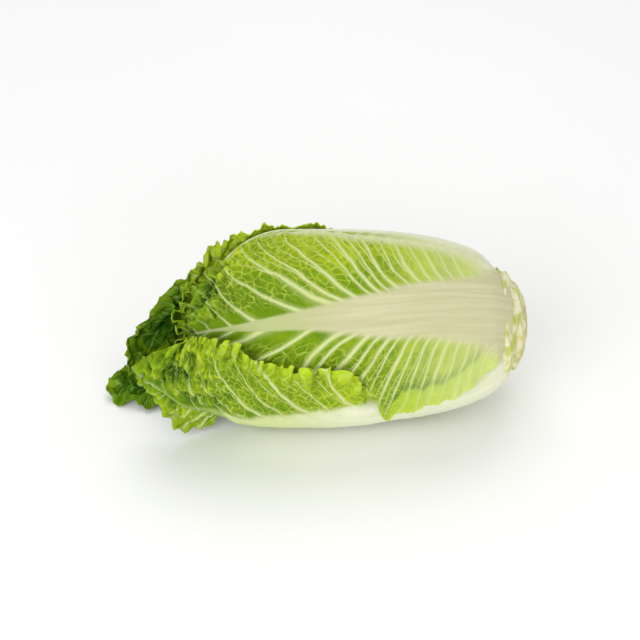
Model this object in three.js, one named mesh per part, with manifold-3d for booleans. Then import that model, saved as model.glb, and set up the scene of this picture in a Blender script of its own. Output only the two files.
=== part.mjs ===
// A whole napa cabbage, picked and lying on its side: the cut stem, the dense heart, and the five
// wrapper leaves that fold round it.
//
// Millimetres. +X runs from the leaf tips to the cut stem, +Z is up, and the head rests on z = 0.
// Every leaf lies over a "bed", the barrel-shaped surface of the head. A point of a leaf is given by
// s, the distance along its midrib from its foot, and a, the distance across it. The bed turns that
// into a place on the head, and a lift along the bed's normal puts the leaves in their layers.
import * as THREE from "three";
import { mergeVertices } from "three/addons/utils/BufferGeometryUtils.js";
import Module from "manifold-3d";

// ---- The head ----
const HEAD_RADIUS = 69; // of the bed at its widest
const AXIS_Y = 2.6; // the head's long axis runs along X here, a little off the middle,
const AXIS_Z = 67.5; // and 1.5 lower than the bed's radius, because the lowest leaf is pressed flat
const CUT_FACE_X = 156.3; // the far end of the cut stem
const SWELL_LENGTH = 150; // from the cut face to where the barrel is fully wide
const SWELL_POWER = 2.6; // how square-shouldered the stem end is
const CAP_START = 175; // where the barrel begins to close over its top
const GOLDEN_ANGLE = 137.5; // degrees round the stem from one leaf to the next
const FIRST_AZIMUTH = 132; // of the outermost leaf, from straight up towards -Y
const OUTLINE_STEPS = 80; // points along the barrel, and as many along the cap

// ---- Leaf flesh ----
const BLADE = 1.2; // thickness of a blade
const RIB_RISE = 1.8; // how far a midrib stands out of its blade
const RIB_EDGE = 18; // distance over which a blade leaves its midrib's level,
const RIB_HOLD = 0.7; // counted from this share of the midrib's half width
const FOOT_SINK = 3; // how far a petiole's foot turns in towards the stem,
const FOOT_BEND = 24; // over this much of its length
const LEAF_ROWS = 42;
const LEAF_COLUMNS = [-1, -0.86, -0.66, -0.4, -0.13, 0.13, 0.4, 0.66, 0.86, 1];

// ---- Ruffles ----
const WAVE_LENGTH = 30; // along a margin
const WAVE_WANDER = 1.3; // radians by which the waves come early or late,
const WANDER_RATE = 2.1; // in radians of wander per wave
const RUFFLE_FROM = 0.6; // share of the half width where the ruffles begin
const APEX_FROM = 0.86; // share of the length where they begin at the tip
const APEX_CENTRE = 0.74; // share of the length about which the margin turns round the tip,
const APEX_RADIUS = 60; // at this distance

// ---- Small helpers ----
const radians = THREE.MathUtils.degToRad;
const ease = (x) => THREE.MathUtils.smoothstep(x, 0, 1);

// A smooth curve through a list of [x, y] points, which doesn't overshoot them.
function curve(points, x) {
  const last = points.length - 1;
  if (x <= points[0][0]) return points[0][1];
  if (x >= points[last][0]) return points[last][1];
  const i = points.findIndex((p) => p[0] > x) - 1;
  const slope = (k) => (points[k + 1][1] - points[k][1]) / (points[k + 1][0] - points[k][0]);
  const tangent = (k) => {
    if (k === 0) return slope(0);
    if (k === last) return slope(last - 1);
    const [before, after] = [slope(k - 1), slope(k)];
    return before * after <= 0 ? 0 : (2 * before * after) / (before + after);
  };
  const [from, to] = [points[i], points[i + 1]];
  const width = to[0] - from[0];
  const t = (x - from[0]) / width;
  return (
    from[1] * (1 + 2 * t) * (1 - t) ** 2 +
    to[1] * t * t * (3 - 2 * t) +
    tangent(i) * width * t * (1 - t) ** 2 +
    tangent(i + 1) * width * t * t * (t - 1)
  );
}

function indexed(position, index) {
  const geometry = new THREE.BufferGeometry();
  geometry.setAttribute("position", new THREE.Float32BufferAttribute(position, 3));
  geometry.setIndex(index);
  return geometry;
}

// ---- The bed ----
// Radius of the barrel at u, the distance from the cut face along the axis, up to the cap.
function barrelRadius(u) {
  const short = Math.max(0, (SWELL_LENGTH - u) / SWELL_LENGTH);
  return HEAD_RADIUS * (1 - short ** SWELL_POWER) ** (1 / SWELL_POWER);
}

// The bed's outline from u = foot to the pole of a cap of the given length: points with their
// distance s along the outline, and the outward normal in (u, r).
function outlineOf(foot, cap) {
  const points = [];
  for (let i = 0; i <= OUTLINE_STEPS; i++) {
    const u = foot + ((CAP_START - foot) * i) / OUTLINE_STEPS;
    points.push({ u, r: barrelRadius(u), s: 0 });
  }
  for (let i = 1; i <= OUTLINE_STEPS; i++) {
    const angle = (Math.PI / 2) * (i / OUTLINE_STEPS);
    points.push({ u: CAP_START + cap * Math.sin(angle), r: HEAD_RADIUS * Math.cos(angle), s: 0 });
  }
  for (let i = 1; i < points.length; i++) {
    const [p, q] = [points[i - 1], points[i]];
    q.s = p.s + Math.hypot(q.u - p.u, q.r - p.r);
  }
  points.forEach((p, i) => {
    const before = points[Math.max(0, i - 1)];
    const after = points[Math.min(points.length - 1, i + 1)];
    const run = Math.hypot(after.u - before.u, after.r - before.r);
    p.normalU = (before.r - after.r) / run;
    p.normalR = (after.u - before.u) / run;
  });
  return points;
}

function alongOutline(outline, s) {
  const at = THREE.MathUtils.clamp(s, 0, outline.at(-1).s);
  const i = Math.max(1, outline.findIndex((p) => p.s >= at));
  const [p, q] = [outline[i - 1], outline[i]];
  const t = (at - p.s) / (q.s - p.s);
  const mix = (key) => p[key] + (q[key] - p[key]) * t;
  return { u: mix("u"), r: mix("r"), normalU: mix("normalU"), normalR: mix("normalR") };
}

// The point of the bed at (s, a) of a leaf, raised by lift along the normal. On the barrel a row of
// constant s runs square to the midrib, and over the cap it bends into a great circle.
function onBed(leaf, s, a, lift) {
  const spine = alongOutline(leaf.outline, s);
  const toPole = (leaf.outline.at(-1).s - s) / HEAD_RADIUS;
  const polar = (Math.PI / 2) * Math.tanh(toPole / (Math.PI / 2));
  const turn = a / (spine.u < CAP_START ? spine.r : HEAD_RADIUS);
  const polarThere = Math.acos(Math.cos(polar) * Math.cos(turn));
  const round = Math.atan2(Math.sin(turn), Math.sin(polar) * Math.cos(turn));
  const bed = alongOutline(leaf.outline, s - (polarThere - polar) * HEAD_RADIUS);
  const azimuth = radians(leaf.azimuth) + round;
  const radius = bed.r + bed.normalR * lift;
  return new THREE.Vector3(
    CUT_FACE_X - bed.u - bed.normalU * lift,
    AXIS_Y - radius * Math.sin(azimuth),
    AXIS_Z + radius * Math.cos(azimuth),
  );
}

// ---- Leaves ----
// Distance along the margin, counted from the tip: round the apex, and straight along the sides.
function marginPlace(leaf, s, a) {
  const centre = leaf.length * APEX_CENTRE;
  if (s > centre) return APEX_RADIUS * Math.atan2(a, s - centre);
  return Math.sign(a) * ((APEX_RADIUS * Math.PI) / 2 + centre - s);
}

// How far the blade stands out in a ruffle, at the given shares of its half width and its length.
function ruffle(leaf, side, s, a, widthShare, lengthShare) {
  const toSide = (widthShare - RUFFLE_FROM) / (1 - RUFFLE_FROM);
  const toTip = (lengthShare - APEX_FROM) / (1 - APEX_FROM);
  const waves = marginPlace(leaf, s, a) / WAVE_LENGTH;
  const wander = WAVE_WANDER * Math.sin(WANDER_RATE * waves);
  const wave = 0.5 + 0.5 * Math.sin(2 * Math.PI * waves + wander + leaf.phase);
  return curve(side.ruffle, s) * ease(Math.max(toSide, toTip)) ** 1.5 * wave;
}

// The leaf's outer and inner point at t from foot to tip and w from its left margin to its right.
function leafPoints(leaf, t, w) {
  const side = w < 0 ? leaf.left : leaf.right;
  const s = leaf.length * t - leaf.bow * t ** 4 * w * w;
  const a = curve(side.width, leaf.length * t) * w;
  const across = a + curve(leaf.sway, s);
  const rib = curve(RIB, s);
  const crown = Math.max(0, 1 - (a / rib) ** 2);
  const offRib = ease((Math.abs(a) - RIB_HOLD * rib) / RIB_EDGE);
  const level = curve(leaf.level, s) * (1 - offRib) + curve(side.level, s) * offRib;
  const sink = FOOT_SINK * (1 - ease(s / FOOT_BEND));
  const lift = level + RIB_RISE * crown - sink + ruffle(leaf, side, s, a, Math.abs(w), t);
  const thickness = BLADE + (curve(leaf.ribDepth, s) - BLADE) * crown ** 0.8;
  const outer = onBed(leaf, s, across, lift);
  const inner = onBed(leaf, s, across, lift - thickness);
  const reach = curve(leaf.reach, s);
  outer.x -= reach;
  inner.x -= reach;
  outer.z = Math.max(outer.z, 0);
  inner.z = Math.max(inner.z, BLADE);
  return { outer, inner };
}

// A closed shell of the leaf beyond s = start: the outer face, the inner face with the same
// diagonals, and the rim that joins them.
function leafGeometry(leaf, start, rows) {
  leaf.outline = outlineOf(leaf.foot, leaf.cap);
  const columns = LEAF_COLUMNS.length;
  const outer = [];
  const inner = [];
  for (let row = 0; row <= rows; row++) {
    const t = (start + ((leaf.length - start) * row) / rows) / leaf.length;
    for (const w of LEAF_COLUMNS) {
      const pair = leafPoints(leaf, t, w);
      outer.push(...pair.outer);
      inner.push(...pair.inner);
    }
  }
  const below = (rows + 1) * columns; // from an outer point to the inner point under it
  const at = (row, column) => row * columns + column;
  const index = [];
  for (let row = 0; row < rows; row++) {
    for (let column = 0; column < columns - 1; column++) {
      const [p, q] = [at(row, column), at(row, column + 1)];
      const [r, v] = [at(row + 1, column), at(row + 1, column + 1)];
      index.push(p, r, q, q, r, v);
      index.push(below + p, below + q, below + r, below + q, below + v, below + r);
    }
  }
  const rim = [];
  for (let column = 0; column < columns - 1; column++) rim.push(at(0, column));
  for (let row = 0; row < rows; row++) rim.push(at(row, columns - 1));
  for (let column = columns - 1; column > 0; column--) rim.push(at(rows, column));
  for (let row = rows; row > 0; row--) rim.push(at(row, 0));
  rim.forEach((p, i) => {
    const q = rim[(i + 1) % rim.length];
    index.push(p, q, below + q, p, below + q, below + p);
  });
  return indexed([...outer, ...inner], index);
}

// ---- Wrapper leaves, outermost first ----
// Each is a foot and a cap that choose its bed, a length, how far its end row bows back, and lists
// of [s, value]. Left is towards smaller azimuths. Level is the lift above the bed of the midrib and
// of each wing, sway moves the midrib sideways, and reach stretches the tip away from the stem.
const RIB = [[0, 27], [40, 29], [90, 26], [140, 17], [190, 9], [240, 4], [320, 2]]; // half width
const RIB_DEPTH = [[0, 5], [25, 8], [60, 8], [120, 6.3], [170, 3.6], [230, 2], [320, 1.3]];
const REAR_LEVEL = [[0, -3], [20, -0.5], [40, 0]];
const STILL = [[0, 0]];

const wrapperLeaves = [
  {
    name: "leaf_1_front", foot: 10.5, cap: 136, length: 297, bow: 24, phase: 0.4,
    level: [[0, 0.2], [90, 0.6], [120, 3.4], [150, 4.8], [205, 4.8], [226, 1], [246, 4]],
    sway: [[195, 0], [225, -5], [240, -9], [268, -21], [297, -32]],
    left: {
      width: [
        [0, 26], [30, 32], [70, 39], [106, 38], [115, 45], [127, 58], [142, 65], [185, 66],
        [225, 74], [262, 70], [297, 52],
      ],
      level: [[0, 0], [108, 0], [121, 4.8], [180, 5.4], [297, 6]],
      ruffle: [[0, 0], [112, 0], [134, 4], [170, 7], [240, 8], [297, 7]],
    },
    right: {
      width: [[0, 17], [20, 21], [90, 29], [150, 29], [205, 27], [225, 26], [270, 26], [297, 22]],
      level: [[0, 1], [150, 2.4], [205, 4], [222, 0], [236, 17], [252, 19], [264, 11], [276, 4]],
      ruffle: [[0, 0], [150, 0], [200, 2], [240, 5], [297, 5]],
    },
  },
  {
    name: "leaf_2_back", foot: 12, cap: 118, length: 286, bow: 8, phase: 1.9,
    level: [[0, 0.4], [120, 1.5], [170, 4]],
    sway: [[190, 0], [230, -8], [262, -33], [286, -50]],
    reach: [[240, 0], [288, 36]],
    left: {
      width: [
        [0, 24], [30, 36], [60, 56], [100, 70], [150, 72], [175, 52], [210, 43], [245, 29],
        [270, 18], [286, 15],
      ],
      level: [[0, 2.4], [40, 4.6], [160, 4.6], [200, 4], [250, 6.5]],
      ruffle: [[0, 0], [60, 3], [140, 4], [200, 4], [288, 5]],
    },
    right: {
      width: [
        [0, 24], [40, 33], [90, 42], [130, 52], [160, 60], [198, 63], [220, 54], [238, 42],
        [252, 28], [266, 16], [286, 10],
      ],
      level: [[0, 2], [15, 3], [40, 4.6], [130, 4.8], [175, 3.8], [195, 1.5], [215, -2]],
      ruffle: [[0, 0], [110, 0], [150, 4], [190, 5], [288, 5]],
    },
  },
  {
    name: "leaf_3_top", foot: 12.5, cap: 68, length: 255, bow: 14, phase: 3.0,
    level: [[0, 0.6], [90, 1.2], [160, 2.4]],
    sway: [[0, -7], [60, -4], [110, 1], [160, 4.5], [200, 8], [257, 9]],
    reach: [[225, 0], [257, 8]],
    left: {
      width: [
        [0, 26], [20, 35], [50, 49], [100, 61], [130, 70], [160, 82.5], [200, 85], [226, 72],
        [255, 37],
      ],
      level: [[0, 1.2], [20, 3.2]],
      ruffle: [[0, 0], [200, 0], [230, 3], [257, 5]],
    },
    right: {
      width: [
        [0, 26], [20, 40], [36, 54], [54, 64], [72, 71], [90, 74], [98, 79], [103, 87],
        [107, 81], [112, 57], [118, 49], [160, 45.5], [200, 43], [235, 45], [255, 37],
      ],
      level: [[0, 1.2], [20, 4], [60, 6], [110, 6], [120, 2.4]],
      ruffle: [[0, 0], [20, 1.5], [60, 2.5], [104, 2], [112, 0], [215, 0], [257, 5]],
    },
  },
  {
    name: "leaf_4_under", foot: 15, cap: 230, length: 304, bow: 12, phase: 4.2,
    level: [[0, 0.4], [160, 0.2], [304, 0]],
    left: {
      width: [[0, 16], [50, 26], [150, 29], [200, 27], [250, 32], [282, 27], [304, 18]],
      level: STILL,
      ruffle: [[0, 0], [215, 0], [250, 3], [304, 6]],
    },
    right: {
      width: [
        [0, 26], [20, 34], [45, 48], [90, 58], [150, 60], [190, 50], [235, 50], [262, 40],
        [285, 27], [304, 17],
      ],
      level: [[190, 0], [225, -4], [245, -10], [262, -15]],
      ruffle: [[0, 0], [185, 0], [220, 3], [245, 1.5], [275, 1.5], [302, 4]],
    },
  },
  {
    name: "leaf_5_rear", foot: 20, cap: 62, length: 228, bow: 12, phase: 5.1,
    level: REAR_LEVEL,
    left: {
      width: [[0, 16], [40, 20], [80, 29], [120, 33], [160, 46], [200, 50], [228, 34]],
      level: REAR_LEVEL,
      ruffle: STILL,
    },
    right: {
      width: [[0, 26], [20, 36], [50, 45], [100, 50], [160, 58], [200, 56], [228, 34]],
      level: REAR_LEVEL,
      ruffle: STILL,
    },
  },
];
wrapperLeaves.forEach((leaf, rank) => {
  leaf.azimuth = FIRST_AZIMUTH + GOLDEN_ANGLE * rank;
  leaf.ribDepth = RIB_DEPTH;
  leaf.sway ??= STILL;
  leaf.reach ??= STILL;
});

// ---- Heart ----
// The next leaves of the spiral stand out of a solid core of younger ones at their ruffled ends.
const HEART_SINK = 9; // the core lies this far inside the bed
const HEART_CAP = 56;
const HEART_FOOT = 26;
const HEART_SIDES = 22;
const HEART_RINGS = 15;
const HEART_ROWS = 14;
const HEART_START = 150; // from here on the blades are modelled
const HEART_BLADES = [
  { cap: 68, length: 240 },
  { cap: 82, length: 252 },
  { cap: 60, length: 226 },
  { cap: 76, length: 244 },
];
const heartWing = {
  width: [[150, 36], [185, 41], [220, 40], [254, 34]],
  level: [[150, -14], [165, -13], [195, -6], [254, -5]],
  ruffle: [[170, 0], [210, 1], [230, 3.5], [254, 6]],
};

function coreGeometry() {
  const outline = outlineOf(HEART_FOOT, HEART_CAP + HEART_SINK);
  const profile = [new THREE.Vector2(0, HEART_FOOT)];
  for (let ring = 0; ring < HEART_RINGS; ring++) {
    const p = alongOutline(outline, (outline.at(-1).s * ring) / HEART_RINGS);
    profile.push(new THREE.Vector2(p.r - p.normalR * HEART_SINK, p.u - p.normalU * HEART_SINK));
  }
  profile.push(new THREE.Vector2(0, CAP_START + HEART_CAP));
  const lathe = new THREE.LatheGeometry(profile, HEART_SIDES);
  lathe.rotateZ(Math.PI / 2); // the lathe's own axis, away from the cut face, becomes -X
  return lathe.translate(CUT_FACE_X, AXIS_Y, AXIS_Z);
}

const wasm = await Module();
wasm.setup();

function solidOf(geometry) {
  geometry.deleteAttribute("normal");
  geometry.deleteAttribute("uv");
  const merged = mergeVertices(geometry, 1e-4);
  return new wasm.Manifold(
    new wasm.Mesh({
      numProp: 3,
      vertProperties: merged.attributes.position.array,
      triVerts: new Uint32Array(merged.index.array),
    }),
  );
}

function heartGeometry() {
  let heart = solidOf(coreGeometry());
  HEART_BLADES.forEach((young, i) => {
    const rank = wrapperLeaves.length + i;
    const leaf = {
      ...young,
      foot: HEART_FOOT,
      azimuth: FIRST_AZIMUTH + GOLDEN_ANGLE * rank,
      bow: 34,
      phase: rank,
      ribDepth: [[0, 2]],
      level: heartWing.level,
      sway: STILL,
      reach: STILL,
      left: heartWing,
      right: heartWing,
    };
    heart = heart.add(solidOf(leafGeometry(leaf, HEART_START, HEART_ROWS)));
  });
  const mesh = heart.getMesh();
  return indexed(mesh.vertProperties, new THREE.BufferAttribute(mesh.triVerts, 1));
}

// ---- Cut stem ----
// A short stump with a flat cut face and the scars of leaves that came off, one golden angle apart.
const STEM_PROFILE = [[0, 14], [1.5, 20.5], [4.5, 27], [7.5, 31], [10, 32.5]]; // [u, radius]
const STEM_HIDDEN = [13, 18, 24]; // u of the rings under the petioles,
const STEM_HOLD = 9.5; // which stay this far inside the bed
const STEM_SIDES = 36;
const SCAR_COUNT = 5;
const SCAR_DEPTH = 0.07; // share of the radius
const SCAR_START = 2; // u of the oldest scar's middle
const SCAR_STEP = 1.7; // from one scar to the next
const SCAR_SPREAD = 0.45; // half width, radians round the stem
const SCAR_HEIGHT = 2.4; // half width along it

function scarred(azimuth, u) {
  let depth = 0;
  for (let k = 1; k <= SCAR_COUNT; k++) {
    const from = azimuth - radians(FIRST_AZIMUTH - GOLDEN_ANGLE * k);
    const away = Math.atan2(Math.sin(from), Math.cos(from)) / SCAR_SPREAD;
    const along = (u - SCAR_START - SCAR_STEP * k) / SCAR_HEIGHT;
    depth += Math.exp(-(away ** 2) - along ** 2);
  }
  return 1 - SCAR_DEPTH * depth;
}

function stemGeometry() {
  const rings = [...STEM_PROFILE, ...STEM_HIDDEN.map((u) => [u, barrelRadius(u) - STEM_HOLD])];
  const position = [CUT_FACE_X, AXIS_Y, AXIS_Z];
  for (const [u, radius] of rings) {
    for (let side = 0; side < STEM_SIDES; side++) {
      const azimuth = (2 * Math.PI * side) / STEM_SIDES;
      const r = radius * scarred(azimuth, u);
      position.push(CUT_FACE_X - u, AXIS_Y - r * Math.sin(azimuth), AXIS_Z + r * Math.cos(azimuth));
    }
  }
  position.push(CUT_FACE_X - STEM_HIDDEN.at(-1), AXIS_Y, AXIS_Z);
  const back = position.length / 3 - 1;
  const at = (ring, side) => 1 + ring * STEM_SIDES + (side % STEM_SIDES);
  const last = rings.length - 1;
  const index = [];
  for (let side = 0; side < STEM_SIDES; side++) {
    index.push(0, at(0, side), at(0, side + 1));
    index.push(back, at(last, side + 1), at(last, side));
    for (let ring = 0; ring < last; ring++) {
      const [p, q] = [at(ring, side), at(ring, side + 1)];
      const [r, v] = [at(ring + 1, side), at(ring + 1, side + 1)];
      index.push(p, r, q, q, r, v);
    }
  }
  return indexed(position, index);
}

// ---- Assembly ----
const paint = (color, roughness) =>
  new THREE.MeshStandardMaterial({ color, roughness, metalness: 0 });
const cabbage = new THREE.Group();
function place(name, geometry, material) {
  const mesh = new THREE.Mesh(geometry, material);
  mesh.name = name;
  cabbage.add(mesh);
}

place("cut_stem", stemGeometry(), paint(0xd6d3a0, 0.65));
place("heart", heartGeometry(), paint(0x7fa32a, 0.5));
for (const leaf of wrapperLeaves) {
  place(leaf.name, leafGeometry(leaf, 0, LEAF_ROWS), paint(0xa3bd4a, 0.45));
}

export default cabbage;
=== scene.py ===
"""A napa cabbage lying on its side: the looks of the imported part.

Every leaf is a closed shell over the head's "bed", the barrel that part.mjs folds its leaves on, with
the same named dimensions. A point of a leaf is (s, a): how far along its midrib from the foot, and how
far across. The shells add what the solids leave out: lateral veins, the net between them and its
blisters, small frills, notches and crumples. Lengths are in millimetres until to_object() makes them
metres. A "curve" is a list of [place, value] points that curve() joins smoothly.
"""

import math

import bpy
import numpy as np
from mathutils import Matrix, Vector


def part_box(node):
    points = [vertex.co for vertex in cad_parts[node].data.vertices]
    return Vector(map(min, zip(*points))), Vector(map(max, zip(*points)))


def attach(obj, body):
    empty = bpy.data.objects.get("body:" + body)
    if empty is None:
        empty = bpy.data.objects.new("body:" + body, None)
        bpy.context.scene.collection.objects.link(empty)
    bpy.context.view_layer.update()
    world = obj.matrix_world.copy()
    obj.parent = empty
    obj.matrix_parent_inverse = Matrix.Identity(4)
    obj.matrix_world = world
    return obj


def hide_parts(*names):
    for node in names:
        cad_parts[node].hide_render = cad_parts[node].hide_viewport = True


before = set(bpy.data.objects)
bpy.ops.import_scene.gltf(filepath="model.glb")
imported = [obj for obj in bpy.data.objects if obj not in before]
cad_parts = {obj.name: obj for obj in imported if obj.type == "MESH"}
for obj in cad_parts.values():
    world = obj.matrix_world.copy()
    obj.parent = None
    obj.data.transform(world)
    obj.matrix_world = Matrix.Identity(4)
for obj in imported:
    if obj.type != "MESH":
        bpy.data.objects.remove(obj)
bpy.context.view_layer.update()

MM = 0.001  # a millimetre in the scene's metres

# ---- The head, as in part.mjs, placed by the frame ----
CUT_FACE_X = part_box("cut_stem")[1].x / MM  # the far end of the cut stem
AXIS_Y, AXIS_Z = 2.6, 67.5  # the head's long axis runs along X here
HEAD_RADIUS = 69
SWELL_LENGTH, SWELL_POWER = 150, 2.6  # how the barrel widens from the stem
CAP_START = 175  # its round end begins so far from the cut face
GOLDEN_ANGLE = 137.5  # degrees from one leaf to the next
FIRST_AZIMUTH = 132
OUTLINE_STEPS = 80

# ---- Leaf flesh and ruffles, as in part.mjs ----
BLADE = 1.2  # thickness of the blade
RIB_RISE = 1.8  # how far the midrib stands over it
RIB_HOLD, RIB_EDGE = 0.7, 18  # from so much of its half width on, the level turns to the side's
FOOT_SINK, FOOT_BEND = 3, 24  # how far a petiole's foot turns in, over this much of its length
WAVE_LENGTH = 30
WAVE_WANDER, WANDER_RATE = 1.3, 2.1  # how uneven the waves are
RUFFLE_FROM, APEX_FROM = 0.6, 0.86  # they begin here, of the way across and along
APEX_CENTRE, APEX_RADIUS = 0.74, 60  # the margin runs round the tip about this place, of the length


# ---- Small helpers ----
def ease(x):
    """A smooth step from 0 to 1."""
    x = np.clip(x, 0, 1)
    return x * x * (3 - 2 * x)


def curve(points, x):
    """A smooth curve through [x, y] points that doesn't overshoot them, at every x."""
    x = np.asarray(x, float)
    if len(points) == 1:
        return np.full_like(x, points[0][1])
    px, py = np.array(points, float).T
    slope = np.diff(py) / np.diff(px)
    before, after = slope[:-1], slope[1:]
    both = np.where(before * after > 0, before + after, 1)
    inner = np.where(before * after > 0, 2 * before * after / both, 0)
    tangent = np.concatenate([slope[:1], inner, slope[-1:]])
    i = np.clip(np.searchsorted(px, x, "right") - 1, 0, len(px) - 2)
    width = np.diff(px)[i]
    t = np.clip((x - px[i]) / width, 0, 1)
    return (
        py[i] * (1 + 2 * t) * (1 - t) ** 2
        + py[i + 1] * t * t * (3 - 2 * t)
        + tangent[i] * width * t * (1 - t) ** 2
        + tangent[i + 1] * width * t * t * (t - 1)
    )


def dice(ix, iy, seed):
    """A number from 0 to 1 for each whole-numbered place, the same on every run."""
    with np.errstate(over="ignore"):
        h = ix.astype(np.int64) * 374761393 + iy.astype(np.int64) * 668265263 + seed * 974634777
        h = (h ^ (h >> 13)) * 1274126177
        h = h ^ (h >> 16)
    return (h & 0xFFFFFF) / float(0xFFFFFF)


def noise(x, y, seed):
    """Smooth value noise from -1 to 1, one lump to a unit."""
    ix, iy = np.floor(x), np.floor(y)
    fx, fy = ease(x - ix), ease(y - iy)
    corner = [[dice(ix + i, iy + j, seed) for j in (0, 1)] for i in (0, 1)]
    low = corner[0][0] * (1 - fx) + corner[1][0] * fx
    high = corner[0][1] * (1 - fx) + corner[1][1] * fx
    return 2 * (low * (1 - fy) + high * fy) - 1


CELL_MARGIN, CELL_PLAY = 0.15, 0.7  # where in its square a cell's middle may lie
FAR_OFF = 9


def cell_edge(x, y, seed):
    """Distance to the nearest wall between the cells of a jittered grid, one cell to a unit."""
    steps = np.arange(-2, 3)
    i, j = (k.reshape(-1, *[1] * x.ndim) for k in np.meshgrid(steps, steps, indexing="ij"))
    ix, iy = np.floor(x) + i, np.floor(y) + j
    cell_x = ix + CELL_MARGIN + CELL_PLAY * dice(ix, iy, seed) - x
    cell_y = iy + CELL_MARGIN + CELL_PLAY * dice(ix, iy, seed + 7) - y
    nearest = np.hypot(cell_x, cell_y).argmin(0)[None]
    near_x, near_y = (np.take_along_axis(k, nearest, 0) for k in (cell_x, cell_y))
    dx, dy = cell_x - near_x, cell_y - near_y
    apart = np.hypot(dx, dy)
    to_wall = ((cell_x + near_x) * dx + (cell_y + near_y) * dy) / np.maximum(2 * apart, 1e-6)
    return np.where(apart > 1e-6, to_wall, FAR_OFF).min(0)


# ---- The bed ----
def outline_of(foot, cap):
    """The barrel's outline from u = foot to the pole of its cap: u, r, distance s and normal."""
    step = np.arange(OUTLINE_STEPS + 1) / OUTLINE_STEPS
    along = foot + (CAP_START - foot) * step
    short = np.maximum(0, (SWELL_LENGTH - along) / SWELL_LENGTH)
    swell = HEAD_RADIUS * (1 - short**SWELL_POWER) ** (1 / SWELL_POWER)
    angle = math.pi / 2 * step[1:]
    u = np.concatenate([along, CAP_START + cap * np.sin(angle)])
    r = np.concatenate([swell, HEAD_RADIUS * np.cos(angle)])
    s = np.concatenate([[0], np.cumsum(np.hypot(np.diff(u), np.diff(r)))])
    du, dr = (np.pad(k, 1, "edge")[2:] - np.pad(k, 1, "edge")[:-2] for k in (u, r))
    run = np.hypot(du, dr)
    return {"s": s, "u": u, "r": r, "normal_u": -dr / run, "normal_r": du / run}


def along_outline(outline, s):
    """The outline's u, r and normal at s."""
    s = np.clip(s, 0, outline["s"][-1])
    return [np.interp(s, outline["s"], outline[key]) for key in ("u", "r", "normal_u", "normal_r")]


def round_axis(x, r, azimuth):
    """The points at a distance r from the head's axis, in a direction round it."""
    return np.stack([x, AXIS_Y - r * np.sin(azimuth), AXIS_Z + r * np.cos(azimuth)], -1)


def on_bed(leaf, s, a, lift):
    """The point at (s, a) of a leaf, raised by lift along the bed's normal."""
    outline = leaf["outline"]
    u, r, _, _ = along_outline(outline, s)
    polar = math.pi / 2 * np.tanh((outline["s"][-1] - s) / HEAD_RADIUS / (math.pi / 2))
    turn = a / np.where(u < CAP_START, r, HEAD_RADIUS)
    polar_there = np.arccos(np.clip(np.cos(polar) * np.cos(turn), -1, 1))
    around = np.arctan2(np.sin(turn), np.sin(polar) * np.cos(turn))
    u, r, normal_u, normal_r = along_outline(outline, s - (polar_there - polar) * HEAD_RADIUS)
    azimuth = math.radians(leaf["azimuth"]) + around
    return round_axis(CUT_FACE_X - u - normal_u * lift, r + normal_r * lift, azimuth)


# ---- Wrapper leaves, as in part.mjs ----
RIB = [[0, 27], [40, 29], [90, 26], [140, 17], [190, 9], [240, 4], [320, 2]]
RIB_DEPTH = [[0, 5], [25, 8], [60, 8], [120, 6.3], [170, 3.6], [230, 2], [320, 1.3]]
REAR_LEVEL = [[0, -2], [20, 0], [40, 0.3]]
STILL = [[0, 0]]

# A leaf's foot, cap, length, bow and phase, and its level, sway, reach, width and ruffle, are its
# solid's, some of them finer. The rest is for the looks:
#   tone, fade            from pale to dark green, and how much paler it gets off the midrib
#   crinkle, crumple      blisters of the blade, and folds of its tip
#   frill, flare, hem     a margin's small waves, its turn outwards, and where it is folded over
#   young, young_reach    how young a green a margin has, and how much further in
#   rib_look, pale        half width of the cream midrib, and width of a pale margin
#   fan, arch             how far a lateral vein runs on for each millimetre across, by where it
#                         starts on the midrib, and how far out it keeps that slant
#   starts_left, _right   where these veins start
#   weak, green_tip       strength of every second vein, and how green the midrib's end is
#   frill_mix             how much it has of each of FRILLS
#   shape                 rows and columns of its grid
FAN = [
    [0, 0.35], [50, 0.6], [75, 0.85], [92, 1.1], [100, 1.4], [117, 1.9], [135, 2.1], [185, 1.5],
    [230, 1.2],
]
FAN_LOW = [[0, 0.35], [50, 0.6], [75, 0.8], [92, 1.1], [100, 1.5], [110, 1.75], [131, 2.9], [175, 3.2]]

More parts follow.
